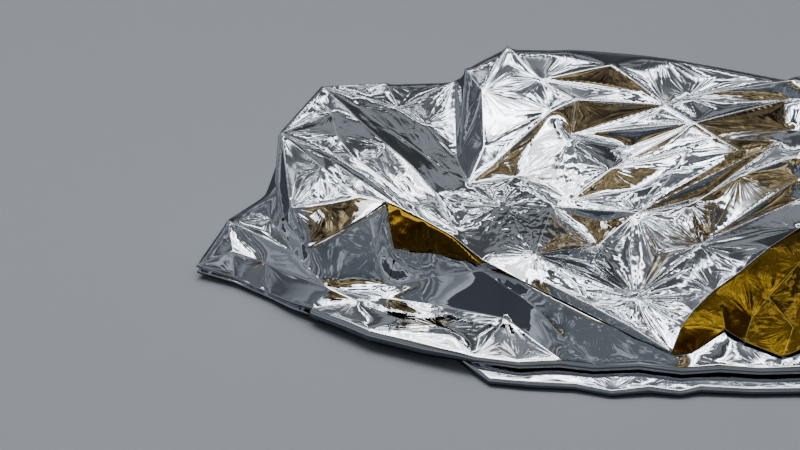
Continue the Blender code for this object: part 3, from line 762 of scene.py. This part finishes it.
def voronoi(nodes, links, feature, vector, scale):
    """The distance output of a Voronoi texture."""
    cells = nodes.new("ShaderNodeTexVoronoi")
    cells.feature = feature
    feed(links, cells.inputs["Vector"], vector)
    feed(links, cells.inputs["Scale"], scale)
    return cells.outputs["Distance"]


def smooth_step(nodes, links, value, low, high):
    """A smooth step from 0 at low to 1 at high."""
    node = nodes.new("ShaderNodeMapRange")
    node.interpolation_type = 'SMOOTHSTEP'
    node.inputs["From Min"].default_value = low
    node.inputs["From Max"].default_value = high
    links.new(value, node.inputs["Value"])
    return node.outputs[0]


def blend(nodes, links, share, first, second):
    """One colour turning into another as the share goes from 0 to 1."""
    mix = nodes.new("ShaderNodeMix")
    mix.data_type = 'RGBA'
    links.new(share, mix.inputs["Factor"])
    feed(links, mix.inputs["A"], first)
    feed(links, mix.inputs["B"], second)
    return mix.outputs["Result"]


# %% [markdown]
# ## Fine folds
#
# The fans in the mesh are a few millimetres wide, and real film has finer folds between them. A mesh
# fine enough for those would be too heavy, and an even noise would run across the creases. So a node
# group bends the normals with folds that start from the same fold points, and the mesh tells it where
# those are.

# %% A group for the fine folds round one point
FAN_EYE = (0.002, 0.014)                 # metres from the point, where its folds begin and are full
FAN_FADE = (0.15, 0.85)                  # the same along the way from the next fold points to this one
FAN_HEIGHT = 0.6
SHARP_WIDTH = 0.14                       # of the thin creases between the waves
SHARP_HEIGHT = 0.35                      # their height, as a share of the waves' height
POINT_SEED = 5.7                         # sets the rays of one fold point apart from the next one's


def fan_group():
    """Folds that fan out from one point: broad waves, and thin sharp creases between them."""
    group, start, end = new_group("foil_fan", (("Point", None), ("Share", 0.0), ("Steepness", 0.2),
                                               ("Waves", 2.2), ("Creases", 3.6)), ("Height",))
    nodes, links = group.nodes, group.links
    place = nodes.new("ShaderNodeTexCoord").outputs["Object"]
    away = vector_node(nodes, links, 'SUBTRACT', place, start.outputs["Point"])
    away = vector_node(nodes, links, 'MULTIPLY', away, (1.0, 1.0, 0.0))
    reach = vector_node(nodes, links, 'LENGTH', away)
    ray = vector_node(nodes, links, 'NORMALIZE', away)
    seed = vector_node(nodes, links, 'MULTIPLY', start.outputs["Point"], (0.0, 0.0, POINT_SEED))
    ray = vector_node(nodes, links, 'ADD', ray, seed)
    waves, creases = start.outputs["Waves"], start.outputs["Creases"]
    wave = math_node(nodes, links, 'DIVIDE', voronoi(nodes, links, 'F1', ray, waves), waves)
    gap = voronoi(nodes, links, 'DISTANCE_TO_EDGE', ray, creases)
    sharp = smooth_step(nodes, links, gap, SHARP_WIDTH, 0.0)
    sharp = math_node(nodes, links, 'DIVIDE', sharp, creases)
    height = math_node(nodes, links, 'MULTIPLY_ADD', sharp, SHARP_HEIGHT, wave)
    clear = smooth_step(nodes, links, reach, *FAN_EYE)
    window = smooth_step(nodes, links, start.outputs["Share"], *FAN_FADE)
    for factor in (clear, reach, start.outputs["Steepness"], FAN_HEIGHT, window):
        height = math_node(nodes, links, 'MULTIPLY', height, factor)
    links.new(height, end.inputs["Height"])
    return group


fan = fan_group()
print("nodes in the fan group:", len(fan.nodes))

# %% A group for all the crumples at a spot
FACETS_A_METRE = 150.0
STREAK_ENDS = ("crest_peak", "edge_3")   # the long streaks of the left side run along this line
STREAK_LENGTH = 0.090
STREAK_WIDTH = 0.0080
STREAK_HEIGHT = 0.00035
streak_from, streak_to = (plan[name] for name in STREAK_ENDS)
STREAK_TURN = math.atan2(streak_to.y - streak_from.y, streak_to.x - streak_from.x)


def crumple_group():
    """The fans of a face's three fold points, and small facets where the sheet is marked as crumpled."""
    group, start, end = new_group("foil_crumple", (("Facet scale", FACETS_A_METRE),
                                                   ("Facet height", 0.0004)), ("Height",))
    nodes, links = group.nodes, group.links
    marks = {}
    for name in ("fan_share", "fan_steep", "fan_0", "fan_1", "fan_2", "crumple", "streak"):
        marks[name] = nodes.new("ShaderNodeAttribute")
        marks[name].attribute_name = name
    split = {}
    for name in ("fan_share", "fan_steep"):
        split[name] = nodes.new("ShaderNodeSeparateXYZ")
        links.new(marks[name].outputs["Vector"], split[name].inputs[0])
    place = nodes.new("ShaderNodeTexCoord").outputs["Object"]
    facets = voronoi(nodes, links, 'F1', place, start.outputs["Facet scale"])
    height = math_node(nodes, links, 'MULTIPLY', facets, marks["crumple"].outputs["Fac"])
    height = math_node(nodes, links, 'MULTIPLY', height, start.outputs["Facet height"])
    along = nodes.new("ShaderNodeMapping")
    along.vector_type = 'TEXTURE'
    along.inputs["Rotation"].default_value = (0, 0, STREAK_TURN)
    along.inputs["Scale"].default_value = (STREAK_LENGTH, STREAK_WIDTH, STREAK_WIDTH)
    links.new(place, along.inputs["Vector"])
    streaks = voronoi(nodes, links, 'F1', along.outputs["Vector"], 1.0)
    streaks = math_node(nodes, links, 'MULTIPLY', streaks, marks["streak"].outputs["Fac"])
    height = math_node(nodes, links, 'MULTIPLY_ADD', streaks, STREAK_HEIGHT, height)
    for slot in range(3):
        one = nodes.new("ShaderNodeGroup")
        one.node_tree = fan
        links.new(marks[f"fan_{slot}"].outputs["Vector"], one.inputs["Point"])
        links.new(split["fan_share"].outputs[slot], one.inputs["Share"])
        links.new(split["fan_steep"].outputs[slot], one.inputs["Steepness"])
        height = math_node(nodes, links, 'ADD', height, one.outputs["Height"])
    links.new(height, end.inputs["Height"])
    return group


crumples = crumple_group()
print("nodes in the crumple group:", len(crumples.nodes))

# %% Silver and gold
CREASE_HIGHLIGHT = (0.25, 0.9)                # where the painted highlight along a crease begins and is full
LINE_METAL = -0.2                        # how much less metallic the line is than the foil
LINE_ROUGH = 0.16                        # how much rougher it is


def foil(name, color, highlight_color, roughness, facet_height):
    """A metal film with crumples in its normals, and a painted highlight along its creases: a paler
    colour, a little rougher and less metallic.
    """
    material = bpy.data.materials.new(name)
    material.use_nodes = True
    nodes, links = material.node_tree.nodes, material.node_tree.links
    shader = nodes["Principled BSDF"]
    group = nodes.new("ShaderNodeGroup")
    group.node_tree = crumples
    group.inputs["Facet height"].default_value = facet_height
    bump = nodes.new("ShaderNodeBump")
    bump.inputs["Strength"].default_value = 1.0
    bump.inputs["Distance"].default_value = 1.0
    links.new(group.outputs["Height"], bump.inputs["Height"])
    links.new(bump.outputs["Normal"], shader.inputs["Normal"])
    crease = nodes.new("ShaderNodeAttribute")
    crease.attribute_name = "crease"
    # Along each crease the colour turns paler: a painted highlight.
    line = smooth_step(nodes, links, crease.outputs["Fac"], *CREASE_HIGHLIGHT)
    links.new(blend(nodes, links, line, color, highlight_color), shader.inputs["Base Color"])
    metal = math_node(nodes, links, 'MULTIPLY_ADD', line, LINE_METAL, 1.0)
    links.new(metal, shader.inputs["Metallic"])
    rough = math_node(nodes, links, 'MULTIPLY_ADD', line, LINE_ROUGH, roughness)
    links.new(rough, shader.inputs["Roughness"])
    return material


# The second, paler colour of each film is the painted highlight along its creases.
silver = foil("silver_film", color=(0.88, 0.89, 0.91, 1.0), highlight_color=(0.97, 0.97, 0.98, 1.0),
              roughness=0.03, facet_height=0.0003)
# The gold's base colour is partly the film's own amber and partly painted shade: it is darkened for the
# shade that the gold lies in under the top ply.
gold = foil("gold_film", color=(0.17, 0.095, 0.007, 1.0), highlight_color=(0.30, 0.19, 0.03, 1.0),
            roughness=0.13, facet_height=0.0006)
print("film:", silver.name, "and", gold.name)

# %% [markdown]
# ## The finished sheet
#
# The film's finish has to know where each spot lies between its fold points. A UV map could say it for
# a flat sheet, but the folds here start from many points at once. So the mesh carries the marks itself:
# its creases, its small facets, and for each face its three fold points and each corner's share of
# them. Then Solidify turns the middle surface into a silver side and a gold one.

# %% Mesh of the middle surface
mesh = bpy.data.meshes.new("foil_sheet")
bm.to_mesh(mesh)
bm.free()
low, high = spots.min(axis=0), spots.max(axis=0)
shift = np.array([(low[0] + high[0]) / 2, (low[1] + high[1]) / 2, 0])   # centres it on the frame
spots -= shift
mesh.vertices.foreach_set("co", spots.astype(np.float32).ravel())
print("sheet seen from above:", *(round(float(side), 3) for side in (high - low)[:2]), "m")


# %% Marks for the film's finish
def mark(name, values, kind, domain):
    """Store one value for each point, face or corner, for the film's finish to read."""
    layer = mesh.attributes.new(name, kind, domain)
    layer.data.foreach_set("vector" if kind == 'FLOAT_VECTOR' else "value",
                           np.ascontiguousarray(values, np.float32).ravel())


mark("crumple", crumple, 'FLOAT', 'POINT')
mark("streak", streak, 'FLOAT', 'POINT')
# Points on a crease or a cut edge, where the film's colour gets its painted highlight.
mark("crease", ridge > 0, 'FLOAT', 'POINT')
face_map = np.zeros(len(mesh.polygons), np.int32)     # 0 on a fold, or the map's triangle plus one
mesh.attributes["map_triangle"].data.foreach_get("value", face_map)
mesh.attributes.remove(mesh.attributes["crease_edge"])
order = {name: i for i, name in enumerate(plan)}
map_points = np.array([[plan[name][:] + (order[name],) for name in t] for t in triangles])
map_points[..., :2] -= shift[:2]
map_steep = np.array([[fans[name][3] for name in t] for t in triangles])
in_map = face_map > 0
for slot in range(3):
    points = np.zeros((len(face_map), 3))
    points[in_map] = map_points[face_map[in_map] - 1, slot]
    mark(f"fan_{slot}", points, 'FLOAT_VECTOR', 'FACE')
steep = np.zeros((len(face_map), 3))
steep[in_map] = map_steep[face_map[in_map] - 1]
mark("fan_steep", steep, 'FLOAT_VECTOR', 'FACE')
print("faces with fans:", int(in_map.sum()))

# %% Each corner's share of its three fold points
corner_spot = np.zeros(len(mesh.loops), np.int32)
mesh.loops.foreach_get("vertex_index", corner_spot)
corner_map = np.repeat(face_map, 3)
first, second, third = (map_points[corner_map - 1, slot, :2] for slot in range(3))
here = spots[corner_spot, :2] - first
one, two = second - first, third - first
area = one[:, 0] * two[:, 1] - one[:, 1] * two[:, 0]
share_1 = (here[:, 0] * two[:, 1] - here[:, 1] * two[:, 0]) / area
share_2 = (one[:, 0] * here[:, 1] - one[:, 1] * here[:, 0]) / area
shares = np.clip(np.column_stack([1 - share_1 - share_2, share_1, share_2]), 0, 1)
mark("fan_share", shares * (corner_map > 0)[:, None], 'FLOAT_VECTOR', 'CORNER')
print("corners:", len(corner_spot))

# %% Make the blanket
mesh.materials.append(silver)
mesh.materials.append(gold)
mesh.shade_smooth()
blanket = bpy.data.objects.new("foil_sheet", mesh)
bpy.context.scene.collection.objects.link(blanket)
film = blanket.modifiers.new("film", 'SOLIDIFY')
film.thickness = FILM_THICKNESS
film.offset = -1.0
film.material_offset = 1
film.material_offset_rim = 0
bpy.context.view_layer.update()
whole = bpy.data.meshes.new_from_object(blanket.evaluated_get(bpy.context.evaluated_depsgraph_get()))
blanket.modifiers.clear()
blanket.data = whole
print("sheet:", len(whole.polygons), "faces, area",
      round(sum(p.area for p in whole.polygons) / 2, 3), "m2 a side")

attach(blanket, "root")
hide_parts("foil_blanket")

# %% [markdown]
# ## Floor
#
# A plain pale floor lets the blanket stand out. Real film lying on it would mirror it as one pale grey,
# and lose its dark folds. A dark floor would keep them but hide the outline. So the floor is pale to the
# camera and dark to the film's reflections.

# %% Floor
FLOOR_REACH = 6.0
FLOOR_HEIGHT = -0.0005                   # a little lower than the film, so that the two never flicker
FLOOR_COLOR = (0.46, 0.475, 0.50, 1)
MIRRORED_FLOOR = (0.028, 0.035, 0.045, 1)
FLOOR_ROUGHNESS = 0.8

floor_mesh = bpy.data.meshes.new("floor")
floor_corners = [(x * FLOOR_REACH, y * FLOOR_REACH, FLOOR_HEIGHT)
                 for x, y in ((-1, -1), (1, -1), (1, 1), (-1, 1))]
floor_mesh.from_pydata(floor_corners, [], [(0, 1, 2, 3)])
floor = bpy.data.objects.new("floor", floor_mesh)
bpy.context.scene.collection.objects.link(floor)
paint = bpy.data.materials.new("floor_paint")
paint.use_nodes = True
nodes, links = paint.node_tree.nodes, paint.node_tree.links
mirrored = nodes.new("ShaderNodeLightPath").outputs["Is Glossy Ray"]
floor_tint = blend(nodes, links, mirrored, FLOOR_COLOR, MIRRORED_FLOOR)
links.new(floor_tint, nodes["Principled BSDF"].inputs["Base Color"])
nodes["Principled BSDF"].inputs["Roughness"].default_value = FLOOR_ROUGHNESS
floor_mesh.materials.append(paint)
print("floor:", 2 * FLOOR_REACH, "m wide")

# %% [markdown]
# ## Light
#
# Foil shows its surroundings more than itself. Lamps alone would give it a few hard spots on black. So
# one soft box throws the shadow, and the rest of the light comes from a room that is painted all round
# the sheet: bands of bright and dark overhead, from behind to in front, a dim side on the left, a warm
# wall low in front and on the right, and dark cloth below it.

# %% Soft box
BOX_PLACE = Vector((-0.5, 0.2, 1.8))
BOX_AIM = Vector((0, 0, 0.1))
BOX_SIZE = (1.2, 0.9)
BOX_POWER = 6

soft_box = bpy.data.lights.new("key_box", 'AREA')
soft_box.shape = 'RECTANGLE'
soft_box.size, soft_box.size_y = BOX_SIZE
soft_box.energy = BOX_POWER
lamp = bpy.data.objects.new("key_box", soft_box)
lamp.location = BOX_PLACE
lamp.rotation_euler = (BOX_AIM - BOX_PLACE).to_track_quat('-Z', 'Y').to_euler()
bpy.context.scene.collection.objects.link(lamp)
print("soft box:", BOX_SIZE, "m")

# %% Directions in the room
SWAY = 0.06                              # how far the overhead bands wander, in half turns
SWAY_SCALE = 2.4
PATCH_SCALE = 13.0                       # of the light and dark patches on the wall and the cloth

world = bpy.data.worlds.new("studio")
bpy.context.scene.world = world
world.use_nodes = True
nodes, links = world.node_tree.nodes, world.node_tree.links
direction = nodes.new("ShaderNodeTexCoord").outputs["Generated"]
axes = nodes.new("ShaderNodeSeparateXYZ")
links.new(direction, axes.inputs[0])
to_right, to_back, to_top = axes.outputs


def cloudy(scale, detail):
    """Soft noise over the directions of the room."""
    node = nodes.new("ShaderNodeTexNoise")
    node.inputs["Scale"].default_value = scale
    node.inputs["Detail"].default_value = detail
    links.new(direction, node.inputs["Vector"])
    return node.outputs["Fac"]


def ramp(factor, stops):
    """A colour ramp, from its positions and their colours."""
    node = nodes.new("ShaderNodeValToRGB")
    links.new(factor, node.inputs["Fac"])
    while len(node.color_ramp.elements) < len(stops):
        node.color_ramp.elements.new(0.5)
    for element, (position, color) in zip(node.color_ramp.elements, stops):
        element.position = position
        element.color = (*color, 1.0)
    return node.outputs["Color"]


# Half turns over the sheet: 0 is level behind it, 0.5 straight up, and 1 level in front.
over = math_node(nodes, links, 'DIVIDE', math_node(nodes, links, 'ARCTAN2', to_top, to_back), math.pi)
sway = math_node(nodes, links, 'MULTIPLY_ADD', cloudy(SWAY_SCALE, 1.0), SWAY, -SWAY / 2)
bent = math_node(nodes, links, 'ADD', over, sway)
patches = cloudy(PATCH_SCALE, 4.0)
print("bands sway by", round(SWAY * 90, 1), "degrees each way")

# %% Bands overhead
ARCH_TINT = (0.90, 0.98, 1.07)
ARCH = (                                 # degrees over, from behind to in front, and brightness
    (0, 0.10), (12, 0.13), (24, 0.06), (31, 0.04), (36.5, 0.05), (38.5, 0.26), (44.5, 0.22),
    (46.5, 0.07), (50.5, 0.08), (52.3, 0.5), (53.3, 7.0), (54.3, 0.20), (56, 0.09), (58.5, 0.18),
    (60, 1.3), (61.2, 0.28), (63.5, 0.20), (65.5, 0.10), (67, 0.4), (68.3, 7.0), (69.6, 0.12),
    (71.5, 0.20), (73.8, 1.6), (75.2, 10.0), (76.6, 0.12), (79.5, 0.04), (82, 0.22), (84.8, 0.06),
    (87.3, 10.0), (89, 0.6), (91, 7.0), (93, 0.2),
)
arch = ramp(bent, [(turn / 180, [value * part for part in ARCH_TINT]) for turn, value in ARCH])
print("bands overhead:", len(ARCH))

# %% Warm wall and dark cloth
WALL = (                                 # share of the patches, and their colour
    (0.36, (0.010, 0.009, 0.008)), (0.47, (0.085, 0.066, 0.038)), (0.55, (0.20, 0.152, 0.080)),
    (0.63, (0.52, 0.41, 0.22)), (0.72, (1.5, 1.38, 1.1)),
)
CLOTH_NEAR = (0.030, 0.038, 0.050, 1.0)
CLOTH_LOW = (0.105, 0.120, 0.140, 1.0)
CLOTH_PALE = (0.34, 0.37, 0.41, 1.0)
CLOTH_START = (0.634, 0.642)             # half turns over, where the wall ends and the cloth is full
CLOTH_FADE = (0.64, 0.72)                # half turns over, from the near cloth to the low cloth
PALE_PATCH = (0.53, 0.66)                # share of the patches, from no pale cloth to all of it

wall = ramp(patches, WALL)
cloth = blend(nodes, links, smooth_step(nodes, links, bent, *CLOTH_FADE), CLOTH_NEAR, CLOTH_LOW)
cloth = blend(nodes, links, smooth_step(nodes, links, patches, *PALE_PATCH), cloth, CLOTH_PALE)
near = blend(nodes, links, smooth_step(nodes, links, over, *CLOTH_START), wall, cloth)
print("tones of the wall:", len(WALL))

# %% Left side, and the whole room
LEFT_TINT = (0.88, 0.98, 1.10)
LEFT = (                                 # height, from level to straight up, and brightness
    (0.0, 0.45), (0.05, 0.22), (0.10, 0.18), (0.13, 0.32), (0.16, 0.32), (0.20, 0.12), (0.25, 0.10),
    (0.31, 0.24), (0.36, 0.12), (0.41, 0.09), (0.48, 0.10), (0.53, 0.50), (0.56, 0.09), (0.60, 0.07),
    (0.66, 0.20), (0.69, 0.24), (0.72, 0.10), (0.79, 0.14),
)
LEFT_START = (-0.46, -0.58)              # how far to the right, from the bands to the left side
RIGHT_START = (0.54, 0.62)               # the same, from the bands to the wall on the right
FRONT_START = (0.513, 0.527)             # half turns over, from the bands to the wall in front

left = ramp(to_top, [(height, [value * part for part in LEFT_TINT]) for height, value in LEFT])
on_right = smooth_step(nodes, links, to_right, *RIGHT_START)
in_front = smooth_step(nodes, links, over, *FRONT_START)
on_left = smooth_step(nodes, links, to_right, *LEFT_START)
past_arch = math_node(nodes, links, 'MAXIMUM', on_right, in_front)
seen = blend(nodes, links, past_arch, arch, near)
seen = blend(nodes, links, on_left, seen, left)
links.new(seen, nodes["Background"].inputs["Color"])
nodes["Background"].inputs["Strength"].default_value = 1.0
print("nodes of the room:", len(nodes))

# %% [markdown]
# ## Camera
#
# A blanket on a table is looked down on from where a person sits. A long lens, a step back, keeps the
# near and the far folds at almost the same size.

# %% Camera
CAMERA_PLACE = (-0.148, -1.371, 0.830)
CAMERA_TILT = 60                         # degrees up from straight down
HALF_VIEW = 13                           # degrees from the middle of the view to its side
HALF_SENSOR = 18                         # millimetres

camera_data = bpy.data.cameras.new("camera")
camera_data.lens = HALF_SENSOR / math.tan(math.radians(HALF_VIEW))
camera = bpy.data.objects.new("camera", camera_data)
camera.location = CAMERA_PLACE
camera.rotation_euler = (math.radians(CAMERA_TILT), 0, 0)
bpy.context.scene.collection.objects.link(camera)
bpy.context.scene.camera = camera
print("lens:", round(camera_data.lens, 1), "mm")
